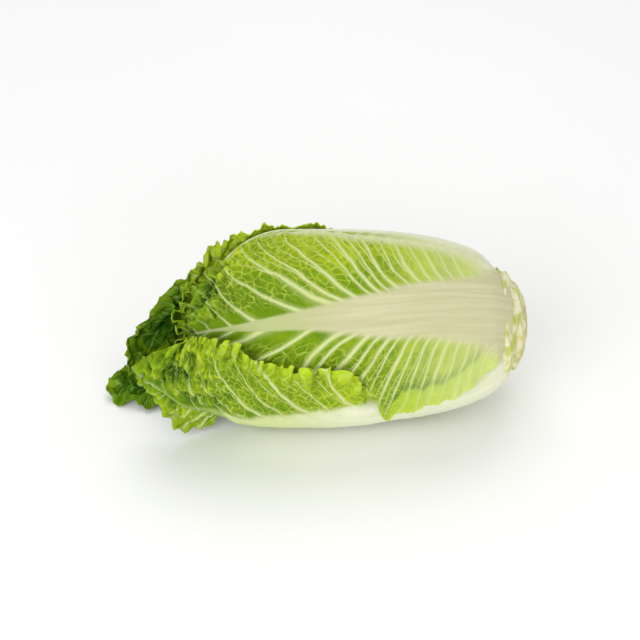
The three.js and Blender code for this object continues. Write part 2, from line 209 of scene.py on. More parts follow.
FRONT = dict(
    node="leaf_1_front", shape=(372, 128), foot=10.5, cap=136, length=297, bow=24, phase=0.4,
    level=[[0, 0.2], [90, 0.6], [120, 3.4], [150, 4.8], [205, 4.8], [226, 1], [246, 4]],
    sway=[[195, 0], [225, -5], [240, -9], [268, -21], [297, -32]],
    reach=[[240, 0], [297, -7]], frill_mix=(0.7, 0.8, 1.2),
    left=dict(
        width=[
            [0, 30], [15, 38], [40, 42], [70, 40], [106, 38], [115, 45], [127, 58], [142, 65],
            [185, 66], [225, 74], [262, 70], [297, 52],
        ],
        level=[[0, 0], [60, 0.6], [108, 0], [121, 2.4], [140, 4.6], [180, 5.4], [297, 6]],
        ruffle=[[0, 0], [112, 0], [134, 4], [170, 7], [240, 8], [297, 7]],
        frill=[[0, 0], [100, 0.1], [114, 0.8], [150, 1.15], [220, 1.2], [297, 1]],
    ),
    right=dict(
        width=[[0, 17], [20, 21], [90, 29], [150, 29], [205, 27], [225, 22], [270, 17], [297, 14]],
        level=[[0, 1], [150, 2.4], [205, 4], [222, 0], [236, 12], [252, 14], [264, 9], [276, 4]],
        ruffle=[[0, 0], [150, 0], [200, 2], [240, 5], [297, 5]],
        frill=[[0, 0], [190, 0.1], [220, 0.4], [297, 0.6]],
    ),
    fan=[[0, 0.8], [100, 1.6], [160, 1.8], [240, 1.4]], arch=34,
    tone=[[0, 0.12], [110, 0.2], [170, 0.34], [230, 0.5], [268, 0.62], [297, 0.9]],
    crinkle=[[0, 0.2], [110, 0.8], [160, 1]],
    rib_look=[[0, 52], [30, 42], [50, 38], [90, 42], [140, 37], [190, 24], [225, 8], [260, 3]],
    crumple=[[0, 0], [190, 0.1], [240, 0.55], [297, 1.3]],
    weak=0.5, green_tip=0.6,
    starts_left=[14, 32, 50, 68, 86, 104, 122, 140, 160, 182, 206, 232, 262],
)
BACK = dict(
    node="leaf_2_back", shape=(320, 146), foot=12, cap=118, length=286, bow=8, phase=1.9,
    level=[[0, 0.4], [120, 1.5], [170, 4]],
    sway=[[190, 0], [230, -8], [262, -34], [286, -56]],
    reach=[[240, 0], [288, 37]], frill_mix=(0.3, 0.35, 1),
    left=dict(
        width=[
            [0, 24], [30, 36], [60, 56], [100, 70], [150, 72], [175, 52], [210, 43], [245, 29],
            [270, 18], [286, 15],
        ],
        level=[[0, 2.4], [40, 4.6], [160, 4.6], [200, 4], [250, 6.5]],
        ruffle=[[0, 0], [60, 3], [140, 4], [200, 4], [288, 5]],
        frill=[[0, 0], [60, 0.3], [140, 0.6], [286, 0.8]],
    ),
    right=dict(
        width=[
            [0, 24], [40, 33], [90, 38], [125, 43], [142, 56], [165, 60], [198, 64], [220, 57],
            [238, 41], [252, 25], [266, 15], [286, 10],
        ],
        level=[[0, 2], [15, 3], [40, 4.6], [130, 4.8], [175, 3.8], [195, 1.5], [215, -2]],
        flare=[[0, 0], [132, 0], [150, 1], [175, 1], [205, 3], [235, 3], [250, 1], [286, 1]],
        ruffle=[[0, 0], [110, 0], [150, 1.5], [190, 2], [230, 4], [288, 4.5]],
        frill=[[0, 0], [128, 0], [150, 0.3], [215, 0.35], [240, 0.6], [286, 0.8]],
        young=[[0, 0], [120, 0.9], [228, 0.9], [250, 0]],
        young_reach=[[0, 0], [150, 0], [170, 14], [228, 14], [245, 0]],
    ),
    fan=[[0, 0.6], [80, 1], [140, 1.8], [230, 1.4]], arch=45,
    tone=[[0, 0], [170, 0], [212, 0], [234, 0.2], [250, 0.8], [264, 1], [286, 1.1]],
    crinkle=[[0, 0.3], [100, 0.7], [160, 1.1]],
    crumple=[[0, 0], [195, 0.1], [220, 0.35], [242, 1.2], [286, 2.4]],
    green_tip=1,
)
TOP = dict(
    node="leaf_3_top", shape=(268, 184), foot=12.5, cap=68, length=255, bow=14, phase=3,
    level=[[0, 0.6], [90, 1.2], [160, 2.4]],
    sway=[[0, -7], [60, -4], [110, 1], [160, 4.5], [200, 8], [257, 9]],
    reach=[[225, 0], [257, 4]], frill_mix=(0.5, 0.5, 0.5),
    left=dict(
        width=[
            [0, 26], [20, 38], [50, 55], [100, 67], [130, 74], [160, 83], [180, 84], [200, 78],
            [226, 65], [255, 37],
        ],
        level=[[0, 1], [60, 1.8], [110, 3.2]],
        ruffle=[[0, 0], [200, 0], [230, 3], [257, 5]],
        frill=[[0, 0], [220, 0.1], [236, 0.4], [255, 0.6]],
        pale=[[0, 40], [50, 16], [90, 13], [160, 14], [190, 7], [212, 0]],
        fade=[[60, 0.12], [150, 0.3], [215, 0.25], [240, 0]],
    ),
    right=dict(
        width=[
            [0, 26], [20, 40], [36, 54], [54, 64], [72, 71], [90, 74], [98, 79], [103, 87], [107, 81],
            [112, 57], [118, 49], [160, 45.5], [200, 43], [235, 45], [255, 37],
        ],
        level=[[0, 1.2], [24, 1.8], [60, 6], [110, 6], [120, 2.4]],
        ruffle=[[0, 0], [20, 1.5], [60, 2.5], [104, 2], [112, 0], [215, 0], [257, 5]],
        frill=[[0, 0], [60, 0.2], [95, 0.3], [104, 0.5], [112, 0], [215, 0.2], [257, 0.7]],
        young=[[0, 0.4], [30, 0.9], [108, 0.9], [114, 0]],
        hem=[[0, 0], [10, 0], [20, 1], [98, 1], [106, 0]],
    ),
    fan=FAN, fan_right=FAN_LOW, arch=70,
    tone=[[0, 0.1], [70, 0.22], [120, 0.37], [200, 0.43], [222, 0.5], [240, 0.72], [255, 0.85]],
    crinkle=[[0, 0.12], [60, 0.3], [90, 0.5], [150, 0.8], [220, 1.2]],
    rib_look=[
        [0, 60], [20, 46], [40, 33], [60, 29], [90, 25], [110, 20], [140, 13], [165, 7.5], [190, 4.2],
        [207, 2.4], [225, 1], [255, 0.3],
    ],
    crumple=[[0, 0], [205, 0], [230, 0.7], [255, 1.3]],
    starts_left=[16, 23, 31, 39, 47, 54, 61, 68, 75, 81, 87, 93, 101, 111, 120, 146, 187, 207, 226],
    starts_right=[15, 22, 28, 35, 42, 48, 55, 62, 68, 75, 81, 87, 93, 100, 109, 131, 176, 203, 226],
)
UNDER = dict(
    node="leaf_4_under", shape=(330, 108), foot=15, cap=230, length=304, bow=12, phase=4.2,
    level=[[0, 0.4], [160, 0.2], [304, 0]],
    left=dict(
        width=[[0, 21], [50, 27], [150, 29], [200, 27], [240, 26], [262, 21], [285, 19], [304, 16]],
        ruffle=[[0, 0], [215, 0], [250, 3], [304, 6]],
        frill=[[0, 0], [190, 0], [240, 0.5], [304, 0.6]],
    ),
    right=dict(
        width=[
            [0, 33], [20, 39], [45, 48], [90, 58], [150, 60], [190, 50], [225, 42], [250, 30],
            [270, 20], [304, 12],
        ],
        level=[[190, 0], [225, -4], [245, -10], [262, -15]],
        ruffle=[[0, 0], [185, 0], [220, 3], [245, 1.5], [275, 1.5], [302, 4]],
        frill=[[0, 0], [185, 0], [230, 0.6], [304, 0.8]],
    ),
    fan=[[0, 0.5], [100, 1.2], [160, 1.8], [240, 1.4]], arch=40,
    tone=[[0, 0.15], [120, 0.25], [200, 0.55], [240, 0.85], [304, 1]],
    crinkle=[[0, 0.1], [150, 0.3], [220, 1]],
    crumple=[[0, 0], [220, 0.1], [260, 0.9], [304, 1.6]],
    green_tip=1,
)
REAR = dict(
    node="leaf_5_rear", shape=(236, 110), foot=20, cap=62, length=228, bow=12, phase=5.1,
    level=REAR_LEVEL,
    left=dict(
        width=[[0, 16], [40, 20], [80, 29], [120, 33], [160, 46], [200, 50], [228, 34]],
        level=REAR_LEVEL,
    ),
    right=dict(
        width=[[0, 26], [20, 36], [50, 45], [100, 50], [160, 58], [200, 56], [228, 34]],
        level=REAR_LEVEL,
        pale=[[0, 80], [60, 60], [130, 30], [180, 8]],
    ),
    fan=FAN, arch=60,
    tone=[[0, 0.05], [90, 0.2], [228, 0.4]],
    crinkle=[[0, 0.2], [120, 0.6]],
)
wrapper_leaves = [FRONT, BACK, TOP, UNDER, REAR]
for rank, leaf in enumerate(wrapper_leaves):
    leaf.update(rank=rank, azimuth=FIRST_AZIMUTH + GOLDEN_ANGLE * rank)


# ---- Veins ----
VEIN_GAP, VEIN_JITTER = 11, 0.28  # between lateral veins on the midrib, with no starts given
VEIN_ROOT = [  # half width of a lateral vein at the midrib, by where it starts
    [0, 0.8], [70, 1.1], [100, 1.9], [150, 2.2], [200, 1.7], [235, 0.9],
]
VEIN_FINE, VEIN_TAPER = 0.4, 20  # and far out, and the distance over which it narrows
VEIN_WOBBLES = [(34, 2.4), (11, 0.7)]  # over what length a vein strays, and how far
SPREAD_LEAST, SPREAD_ARCHED = 0.25, 0.9  # how a vein's slant eases from the midrib on
START_BEFORE, START_AFTER, START_HALVINGS = 400, 10, 24  # to trace a vein back
SLOPE_STEP, SLOPE_LEAST = 0.5, 0.15  # to measure how close veins lie
FORK_AT, FORK_RUN = 24, 34  # how far out a branch leaves its vein, and over what distance
FORK_SPREAD = 0.42  # how far it parts from it, of the way to the next vein
CELL, THREADS = 5.8, 2.6  # a cell of the net between the veins, and threads to one such cell
CELL_SHEAR = 0.45  # how far the cells lean along the veins
CELL_WARPS = [(6, 2), (2.6, 0.6)]  # over what length they are crooked, and how far
OTHER_SIDE = 500  # between the net's places left and right of the midrib
BLISTER = 10  # a pucker of the blade


def vein_starts(leaf, side):
    """Where on the midrib a side's lateral veins start, from the foot to the tip."""
    given = leaf.get("starts_" + side)
    if given:
        return np.array(given, float)
    count = int(leaf["length"] / VEIN_GAP)
    k = np.arange(1, count)
    shift = dice(k, k * 0 + len(side), 31 + leaf["rank"]) - 0.5
    return VEIN_GAP * (k + 2 * VEIN_JITTER * shift + (0.5 if side == "left" else 0))


def start_of(leaf, side, s, a):
    """Where on the midrib the lateral vein through (s, a) would start: s = start + fan * spread."""
    fan = leaf.get("fan_" + side, leaf["fan"])
    out = np.abs(a)
    arch = leaf["arch"]
    spread = SPREAD_LEAST * out + SPREAD_ARCHED * arch * (1 - np.exp(-out / arch))
    low, high = s - START_BEFORE, s + START_AFTER
    for _ in range(START_HALVINGS):
        middle = (low + high) / 2
        past = middle + curve(fan, middle) * spread > s
        low, high = np.where(past, low, middle), np.where(past, middle, high)
    return (low + high) / 2


def vein_order(leaf, side, s, a):
    """A number that is whole on each lateral vein, the length of one unit of it, and the start."""
    start = start_of(leaf, side, s, a)
    further = start_of(leaf, side, s + SLOPE_STEP, a) - start
    outer = start_of(leaf, side, s, np.abs(a) + SLOPE_STEP) - start
    slope = np.hypot(further, outer) / SLOPE_STEP
    starts = vein_starts(leaf, side)
    before = np.minimum(start - starts[0], 0) / VEIN_GAP
    after = np.maximum(start - starts[-1], 0) / VEIN_GAP
    order = np.interp(start, starts, np.arange(len(starts))) + before + after
    gap = np.diff(starts)[np.clip(np.searchsorted(starts, start) - 1, 0, len(starts) - 2)]
    return order, gap / np.maximum(slope, SLOPE_LEAST), start


def veins(leaf, s, a):
    """The lateral veins' order, span, half width and branch, and a place in the net."""
    seed = 100 * (leaf["rank"] + 1)
    reach = ease(np.abs(a) / 12)
    for k, (lump, stray) in enumerate(VEIN_WOBBLES):
        shift = stray * noise(s / lump, a / lump, seed + 2 * k)
        a = a + stray * reach * noise(s / lump, a / lump, seed + 2 * k + 1)
        s = s + shift
    left = vein_order(leaf, "left", s, np.minimum(a, 0))
    right = vein_order(leaf, "right", s, np.maximum(a, 0))
    order, span, start = (np.where(a < 0, *pair) for pair in zip(left, right))
    number = np.round(order)
    strength = np.where(number % 2 == 0, 1.1, leaf.get("weak", 0.8))
    strength = strength + 0.35 * (dice(number, (a < 0) * 1, 17 + seed) - 0.5)
    half = VEIN_FINE + (curve(VEIN_ROOT, start) - VEIN_FINE) * np.exp(-np.abs(a) / VEIN_TAPER)
    half = half * strength * (1 - 0.65 * ease((s / leaf["length"] - 0.55) / 0.35))
    x = CELL_SHEAR * start + (1 - CELL_SHEAR) * s + np.where(a < 0, 0, OTHER_SIDE)
    y = a
    for k, (lump, stray) in enumerate(CELL_WARPS):
        x = x + stray * noise(s / lump, a / lump, seed + 7 + 2 * k)
        y = y + stray * noise(s / lump, a / lump, seed + 8 + 2 * k)
    turn_off = FORK_AT * (0.6 + 0.9 * dice(number, number * 0 + 5, seed))
    fork = FORK_SPREAD * ease((np.abs(a) - turn_off) / FORK_RUN)
    return order, span, half, fork, x, y


# ---- Leaves ----
FRILLS = [  # wavelength, reach in from the margin, height, fold along the margin
    (26, 36, 4.6, 1.8),
    (13, 19, 5, 1.7),
    (6.2, 8.5, 2.2, 0.65),
]
STILL_MIX = (1, 1, 1)  # how much of each a leaf has
FRILL_LIMIT = 7  # the highest that they stand together
FRILL_CURL = 0.7  # how far they go out and in at the margin, over their height
TOOTH_SPANS = [(8, 1), (3.4, 0.6)]  # length along the margin and depth of its notches
TOOTH_REACH, FLARE_REACH = 5, 20  # how far in they go, and how far in a leaf turns outwards
HEM_WIDTH, HEM_RISE = 17, 1  # of a margin that is folded over
HEM_STRAYS = [(15, 3.5), (5, 2)]  # over what length its inner edge wanders, and how far
HEM_STEP, CREASE_SHADE_REACH = 1.6, 4  # how soft that edge is, and how wide the painted shade along it
FRILL_BLADE, THIN_REACH = 0.7, 12  # thickness at a margin, and how far in it stays thin
LEAST_THICK = 0.6  # where the floor flattens a leaf
MARGIN_DENSITY = 0.16  # how much closer the columns are at the margins
MAIN_RELIEF, VEIN_RELIEF, NET_RELIEF = 0.9, 1.1, 0.6  # of the veins over the blisters between them
VEIN_SLOPE, NET_SLOPE = 6, 3.5  # over what distance the blisters rise from them
CRUMPLES = [(16, 4.2), (8.5, 3.6), (4.6, 1.7)]  # size and height of the folds of a crumpled tip
CREASE = 0.2  # how round they are
CRUMPLE_MEAN, FOLD_LIGHT_MEAN = 0.4, 0.3  # taken off the folds and off their painted light and shade, so that a tip keeps its level and green
STRIPE_LENGTH, STRIPE_SPAN, STRIPE_HEIGHT = 90, 6, 0.05  # the fibres that show in a petiole
YOUNG_REACH = 8  # how far in from the margin the leaf is a younger green
GREEN_FROM, GREEN_RUN = 150, 90  # where a midrib turns green towards the tip


def margin_place(leaf, s, a):
    """A length that grows along the margin, from the left foot round the tip, and the way it grows."""
    centre = leaf["length"] * APEX_CENTRE
    ahead = s - centre
    reach = np.maximum(np.hypot(a, ahead), 1e-6)
    at_side = np.sign(a) * (APEX_RADIUS * math.pi / 2 + centre - s)
    place = np.where(ahead > 0, APEX_RADIUS * np.arctan2(a, ahead), at_side)
    return place, np.where(ahead > 0, -a / reach, -np.sign(a)), np.where(ahead > 0, ahead / reach, 0)


def margin_length(place, s, a):
    """The margin's real length up to each point's place on it."""
    left, tip, right = (slice(None), 0), (-1, slice(1, -1)), (slice(None, None, -1), -1)
    loop_place, loop_s, loop_a = (np.concatenate([k[left], k[tip], k[right]]) for k in (place, s, a))
    length = np.concatenate([[0], np.cumsum(np.hypot(np.diff(loop_s), np.diff(loop_a)))])
    return np.interp(place, np.maximum.accumulate(loop_place), length)


def rolling_wave(leaf, t, w, place, ruffle):
    """How far the solid's own waves raise a leaf towards its margin."""
    to_margin = np.maximum(
        (np.abs(w) - RUFFLE_FROM) / (1 - RUFFLE_FROM), (t - APEX_FROM) / (1 - APEX_FROM)
    )
    waves = place / WAVE_LENGTH
    wander = WAVE_WANDER * np.sin(WANDER_RATE * waves)
    wave = 0.5 + 0.5 * np.sin(2 * math.pi * waves + wander + leaf["phase"])
    return ruffle * ease(to_margin) ** 1.5 * wave


def small_frills(leaf, along, edge, frill, seed):
    """The frills' rise, how far they lean along the margin and how far out of it."""
    rise, lean, out = (np.zeros_like(along) for _ in range(3))
    for k, (span, reach, height, fold) in enumerate(FRILLS):
        grow = np.clip(1 - edge / reach, 0, 1) ** 1.4 * frill * leaf.get("frill_mix", STILL_MIX)[k]
        uneven = np.clip(0.8 + 0.75 * noise(along / (1.7 * span), edge / 40, seed + k), 0.1, 1.5)
        wander = 4.2 * noise(along / (2.1 * span), edge / 25, seed + 3 + k)
        phase = 2 * math.pi * along / span + wander
        rise = rise + height * uneven * grow * (np.sin(phase) + 0.35)
        lean = lean - fold * uneven * grow * np.sin(2 * phase)
        curl = 1.5 * np.abs(np.sin(phase / 2 + 0.8)) - 0.75
        out = out + FRILL_CURL * height * uneven * grow * curl
    return FRILL_LIMIT * np.tanh(rise / FRILL_LIMIT), lean, out


def margin_notches(along, edge, frill, seed):
    """How far the margin's notches draw a leaf in."""
    notch = np.zeros_like(along)
    for k, (span, depth) in enumerate(TOOTH_SPANS):
        notch = notch + depth * noise(along / span, along * 0, seed + 6 + k)
    return notch * (0.25 + 0.75 * frill) * np.exp(-edge / TOOTH_REACH)


def folded_hem(s, to_side, amount, seed):
    """Where a margin is folded over, and painted shade along its inner edge, under the fold, 0 to 1."""
    inward = to_side - HEM_WIDTH
    for k, (span, stray) in enumerate(HEM_STRAYS):
        inward = inward - stray * noise(s / span, s * 0, seed + 8 + k)
    return amount * ease(0.5 - inward / HEM_STEP), amount * np.exp(-((inward / CREASE_SHADE_REACH - 0.5) ** 2))


def crumpled(far, a, amount, seed):
    """The relief of a crumpled tip, and painted light on its crests and painted shade in its hollows."""
    relief, crest = np.zeros_like(a), np.zeros_like(a)
    for k, (size, height) in enumerate(CRUMPLES):
        bend = noise((far + 0.5 * a) / size, (a - 0.5 * far) / (1.1 * size), seed + 20 + k)
        fold = 1 - 2.4 * (np.hypot(bend, CREASE) - CREASE)
        relief = relief + height * amount * (fold - CRUMPLE_MEAN)
        # painted light on the folds' crests, painted shade in their hollows
        crest = crest + 0.45 * amount * (fold - FOLD_LIGHT_MEAN)
    return relief, crest


def leaf_surface(leaf, t, w):
    """Middle surface, thickness and attributes of a leaf at t from foot to tip, w across."""
    seed = 1000 + 10 * leaf["rank"]

    def side(key, at):
        left, right = (leaf[wing].get(key, STILL) for wing in ("left", "right"))
        return np.where(w < 0, curve(left, at), curve(right, at))

    row = leaf["length"] * t
    half_width = side("width", row)
    s = row - leaf["bow"] * t**4 * w * w
    a = half_width * w
    across = np.abs(a)
    sway, reach, level = (curve(leaf.get(key, STILL), s) for key in ("sway", "reach", "level"))
    to_side = (1 - np.abs(w)) * half_width
    to_tip = (1 - t) * leaf["length"]
    edge = np.minimum(to_side, to_tip)
    place, way_s, way_a = margin_place(leaf, s, a)
    along = margin_length(place, s, a)

    # The margin: waves, a turn outwards, a fold over the blade with painted shade along it, frills and
    # notches.
    frill = side("frill", row)
    frill_rise, lean, out = small_frills(leaf, along, edge, frill, seed)
    hem, crease_shade = folded_hem(s, to_side, side("hem", s), seed)
    rise = rolling_wave(leaf, t, w, place, side("ruffle", s))
    rise = rise + side("flare", s) * np.clip(1 - to_side / FLARE_REACH, 0, 1) ** 1.6
    rise = rise + HEM_RISE * hem + frill_rise
    inset = margin_notches(along, edge, frill, seed) - out
    at_tip = ease((to_side - to_tip) / 6 + 0.5)
    s_there = s + lean * way_s - 0.4 * inset * at_tip
    a_there = a + lean * way_a - np.sign(w) * inset * (1 - at_tip)

    # Midrib, veins, blisters, crumples with painted light and shade on them, and fibres.
    rib = curve(RIB, s)
    crown = np.maximum(0, 1 - (a / rib) ** 2)
    off_rib = ease((across - RIB_HOLD * rib) / RIB_EDGE)
    level = level * (1 - off_rib) + side("level", s) * off_rib
    sink = FOOT_SINK * (1 - ease(s / FOOT_BEND))
    order, span, half, fork, x, y = veins(leaf, s, a)
    away = np.abs(order - np.round(order)) * span
    wall = cell_edge(x / BLISTER, y / BLISTER, seed) * BLISTER
    crinkle = curve(leaf["crinkle"], s) * ease((across - 0.75 * rib) / 10)
    relief = MAIN_RELIEF * np.exp(-((away / half) ** 2)) * ease(0.25 + crinkle) * (1 - 0.8 * hem)
    blisters = VEIN_RELIEF * ease(away / VEIN_SLOPE) + NET_RELIEF * ease(wall / NET_SLOPE)
    off_midrib = np.maximum(ease((across - rib + 4) / 10), ease((t - 0.93) / 0.05))
    crumple = curve(leaf.get("crumple", STILL), row) * off_midrib * (0.4 + 0.6 * ease(edge / 10))
    folds, crest = crumpled(s + reach, a, crumple, seed)
    band = np.clip(1.25 - across / rib, 0, 1)
    stripes = STRIPE_HEIGHT * ease(band * 2) * noise(s / STRIPE_LENGTH, a / STRIPE_SPAN + 9, seed + 9)
    relief = relief - crinkle * blisters + folds + stripes
    thickness = BLADE + (curve(leaf.get("rib_depth", RIB_DEPTH), s) - BLADE) * crown**0.8
    thin = FRILL_BLADE + (thickness - FRILL_BLADE) * ease(edge / THIN_REACH)
    lift = level + RIB_RISE * crown - sink + rise + relief
    middle = on_bed(leaf, s_there, a_there + sway, lift - thin / 2)
    middle[..., 0] -= reach

    # What the materials read.
    cream = np.clip(1.6 - 1.5 * across / curve(leaf.get("rib_look", RIB), s), 0, 1)
    pale = side("pale", row)
    fade = side("fade", s) * ease((across - 15) / 45)
    young = np.clip(frill + side("young", row), 0, 1)
    young = young * np.exp(-edge / (YOUNG_REACH + side("young_reach", row)))
    facts = {
        "rib": cream * (1 - ease((s - GREEN_FROM) / GREEN_RUN) * leaf.get("green_tip", 0)),
        "pale": np.clip(pale / 4, 0, 1) * (1 - ease(to_side / (pale + 1))),
        "vein_span": span, "vein_half": half, "fork": fork, "crinkle": crinkle,
        # the tone darkens along a hem's inner edge: painted shade under the fold
        "tone": curve(leaf["tone"], s) - fade + 0.35 * crease_shade,
        "young": np.maximum(young, 0.6 * hem),
        # painted light on a crumpled tip's crests and painted shade in its hollows
        "crest": np.clip(crest, -0.7, 1),
    }
    vectors = {"place": np.stack([s, a, along], -1), "weave": np.stack([x, y, order], -1)}
    return middle, thin, facts, vectors


def grid_normals(points):
    """Unit normals of a grid of points."""
    normal = np.cross(np.gradient(points, axis=0), np.gradient(points, axis=1))
    return normal / np.maximum(np.linalg.norm(normal, axis=-1, keepdims=True), 1e-9)


def lathe_points(x, r, azimuth, poles):
    """The points of a skin of rings, and its poles, so far from the cut face."""
    ends = [[CUT_FACE_X - pole, AXIS_Y, AXIS_Z] for pole in poles]
    return np.concatenate([round_axis(x, r, azimuth).reshape(-1, 3), ends])


def lathe_faces(rings, sides):
    """Quads of such a skin, with an even number of sides."""
    grid = np.arange(rings * sides).reshape(rings, sides)
    ahead = np.roll(grid, -1, 1)
    wall = np.stack([grid[:-1], grid[1:], ahead[1:], ahead[:-1]], -1).reshape(-1, 4)
    caps = [
        np.stack([ring[::2], ring[1::2], np.roll(ring, -2)[::2], np.full(sides // 2, pole)], 1)
        for ring, pole in ((grid[0], grid.size), (grid[-1], grid.size + 1))
    ]
    return np.concatenate([wall, caps[0], caps[1][:, [2, 1, 0, 3]]])


def shell_faces(rows, columns):
    """Quads of a closed shell over a grid: outer face, inner face and rim."""
    grid = np.arange(rows * columns).reshape(rows, columns)
    outer = np.stack([grid[:-1, :-1], grid[:-1, 1:], grid[1:, 1:], grid[1:, :-1]], -1).reshape(-1, 4)
    loop = np.concatenate([grid[0, :-1], grid[:-1, -1], grid[-1, :0:-1], grid[:0:-1, 0]])
    ahead = np.roll(loop, -1)
    rim = np.stack([ahead, loop, loop + grid.size, ahead + grid.size], 1)
    return np.concatenate([outer, outer[:, ::-1] + grid.size, rim])


def leaf_shell(leaf, start, rows, columns):
    """A leaf's closed shell from s = start to its tip: points, faces and attributes."""
    leaf["outline"] = outline_of(leaf["foot"], leaf["cap"])
    spread = np.linspace(-1, 1, columns)
    spread = spread + MARGIN_DENSITY * np.sin(math.pi * spread)
    t, w = np.meshgrid(np.linspace(start / leaf["length"], 1, rows), spread, indexing="ij")
    middle, thin, facts, vectors = leaf_surface(leaf, t, w)
    normal = grid_normals(middle)
    outward = np.sum(normal * (middle - [0, AXIS_Y, AXIS_Z]) * [0, 1, 1], axis=-1).mean()
    step = np.sign(outward) * normal * (thin / 2)[..., None]
    outer, inner = middle + step, middle - step
    low = outer[..., 2] < inner[..., 2]
    outer[..., 2] = np.maximum(outer[..., 2], np.where(low, 0, LEAST_THICK))
    inner[..., 2] = np.maximum(inner[..., 2], np.where(low, LEAST_THICK, 0))
    points = np.concatenate([outer.reshape(-1, 3), inner.reshape(-1, 3)])
    facts = {key: np.tile(value.ravel(), 2) for key, value in facts.items()}
    vectors = {key: np.tile(value.reshape(-1, 3), (2, 1)) for key, value in vectors.items()}
    return points, shell_faces(rows, columns), facts, vectors


# ---- Heart, as in part.mjs, with its blades finer ----
HEART_SINK = 9  # the core lies this far inside the bed
HEART_CAP, HEART_FOOT = 56, 26
HEART_START = 150  # from here on the blades are modelled
HEART_BLADES = [(68, 240), (82, 252), (60, 226), (76, 244)]  # cap, length
HEART_WING = dict(
    width=[[150, 36], [185, 41], [220, 40], [254, 34]],
    level=[[150, -14], [165, -13], [195, -8], [254, -5.5]],
    ruffle=[[170, 0], [210, 1], [230, 3.5], [254, 6]],
    frill=[[170, 0], [210, 0.6], [254, 1]],
)
HEART_TONE = [[150, 0.35], [210, 0.6], [254, 0.7], [290, 0.75]]
BLADE_SHAPE = (60, 84)  # rows and columns of a blade
BLADE_REACH = 34  # how far the blades close over the core's end
CORE_SHAPE = (90, 144)  # rings along the core and points round it
CORE_START = 16
CORE_SINK = [[16, 9], [34, 4.2], [60, 3.4], [110, 8.5], [250, 8.5]]  # by the distance from the cut
CORE_FOLDS, FOLD_STEP = 7, 1.4  # edges of inner leaves round the core, and how high they stand
FOLD_TWIST, FOLD_VEINS = 120, 2.5  # length in which they turn by one, and veins between them
CORE_PALE = (60, 120)  # where the core turns from petioles to blades
CORE_TONE, CORE_CRINKLE, CORE_VEIN = 0.45, 0.8, 0.55
POLE_SPAN = 9  # the veins' span at the core's two ends


def core_shell():
    """The heart's core: a closed skin inside the bed, with the edges of inner leaves."""
    outline = outline_of(CORE_START, HEART_CAP + HEART_SINK)
    rings, sides = CORE_SHAPE
    s, turn = np.meshgrid(
        np.linspace(0, outline["s"][-1], rings + 1)[:-1], np.arange(sides) / sides, indexing="ij"
    )
    u, r, normal_u, normal_r = along_outline(outline, s)
    azimuth = 2 * math.pi * turn
    fold = CORE_FOLDS * turn + s / FOLD_TWIST + 0.2 * np.sin(2 * azimuth)
    step = fold - np.floor(fold)
    sink = curve(CORE_SINK, u) - FOLD_STEP * step * ease((1 - step) * 12)
    x, radius = CUT_FACE_X - u + normal_u * sink, r - normal_r * sink
    points = lathe_points(x, radius, azimuth, (CORE_START, CAP_START + HEART_CAP))
    place = np.stack([s, 60 * azimuth, s], -1)
    weave = np.stack([s + 12 * step, r * azimuth, FOLD_VEINS * fold], -1)
    pale = 1 - ease((u - CORE_PALE[0]) / (CORE_PALE[1] - CORE_PALE[0]))
    span = 2 * math.pi * r / CORE_FOLDS / FOLD_VEINS
    flat = np.zeros(len(points))
    facts = {
        "young": flat, "crest": flat, "pale": flat, "fork": flat,
        "rib": np.append(pale.ravel(), [1, 0]),
        "vein_span": np.append(span.ravel(), [POLE_SPAN, POLE_SPAN]),
        "tone": flat + CORE_TONE, "crinkle": flat + CORE_CRINKLE, "vein_half": flat + CORE_VEIN,
    }
    vectors = {"place": place, "weave": weave}
    vectors = {key: np.pad(value.reshape(-1, 3), ((0, 2), (0, 0))) for key, value in vectors.items()}
    return points, lathe_faces(rings, sides), facts, vectors


def joined(shells):
    """Several shells as one: points, faces, attributes and vector attributes."""
    points, faces, facts, vectors = zip(*shells)
    shift = np.cumsum([0] + [len(part) for part in points[:-1]])
    faces = [part + low for part, low in zip(faces, shift)]
    facts, vectors = (
        {key: np.concatenate([part[key] for part in parts]) for key in parts[0]}
        for parts in (facts, vectors)
    )
    return np.concatenate(points), np.concatenate(faces), facts, vectors


def heart_blade(i, cap, length):
    """A young blade of the heart, described like a wrapper leaf."""
    rank = len(wrapper_leaves) + i
    return dict(
        cap=cap, foot=HEART_FOOT, length=length + BLADE_REACH, bow=34,
        azimuth=FIRST_AZIMUTH + GOLDEN_ANGLE * rank, phase=rank, rank=rank,
        rib_depth=[[0, 2]], level=HEART_WING["level"], left=HEART_WING, right=HEART_WING,
        fan=FAN, arch=40, tone=HEART_TONE, crinkle=[[0, 1]],
        crumple=[[150, 0], [190, 0.2], [254, 0.8]], green_tip=1,
    )


# ---- Cut stem, as in part.mjs, with its scars finer ----
STEM_PROFILE = [[0, 14], [1.5, 20.5], [4.5, 27], [7.5, 31], [10, 32.5]]
STEM_HOLD = 9.5  # how far inside the bed its hidden cone lies
SCAR_COUNT, SCAR_DEPTH = 5, 0.07
SCAR_START, SCAR_STEP = 2, 1.7
SCAR_SPREAD, SCAR_HEIGHT = 0.45, 2.4
SCAR_RIM, RIM_WIDTH = 1.25, 0.22  # a scar's raised rim, over its spread
STEM_SHAPE = (84, 200)  # rings, and points round each
CUT_RINGS, HIDDEN_RINGS = 22, 7  # of them on the cut face, and under the petioles
NECK_END, NECK_SLOPE = 21, 1.2  # where the skin that shows ends, and how it widens
HIDDEN_FROM, HIDDEN_TO = 22, 30
TORN_END = 16  # where the torn skin ends
PETIOLE_FOOT, PETIOLE_COVER = 12.5, 1.2  # where petioles begin, and how far under them the skin runs
COLLAR_PLACE, COLLAR_RISE = 13, 3.2  # the swelling that the petioles break from
COLLAR_WIDTH, COLLAR_STRAY = 2.4, 4.5  # its width, and how far along the head it wanders
CUT_INSET = 0.4  # how far inside the solid the cut face lies
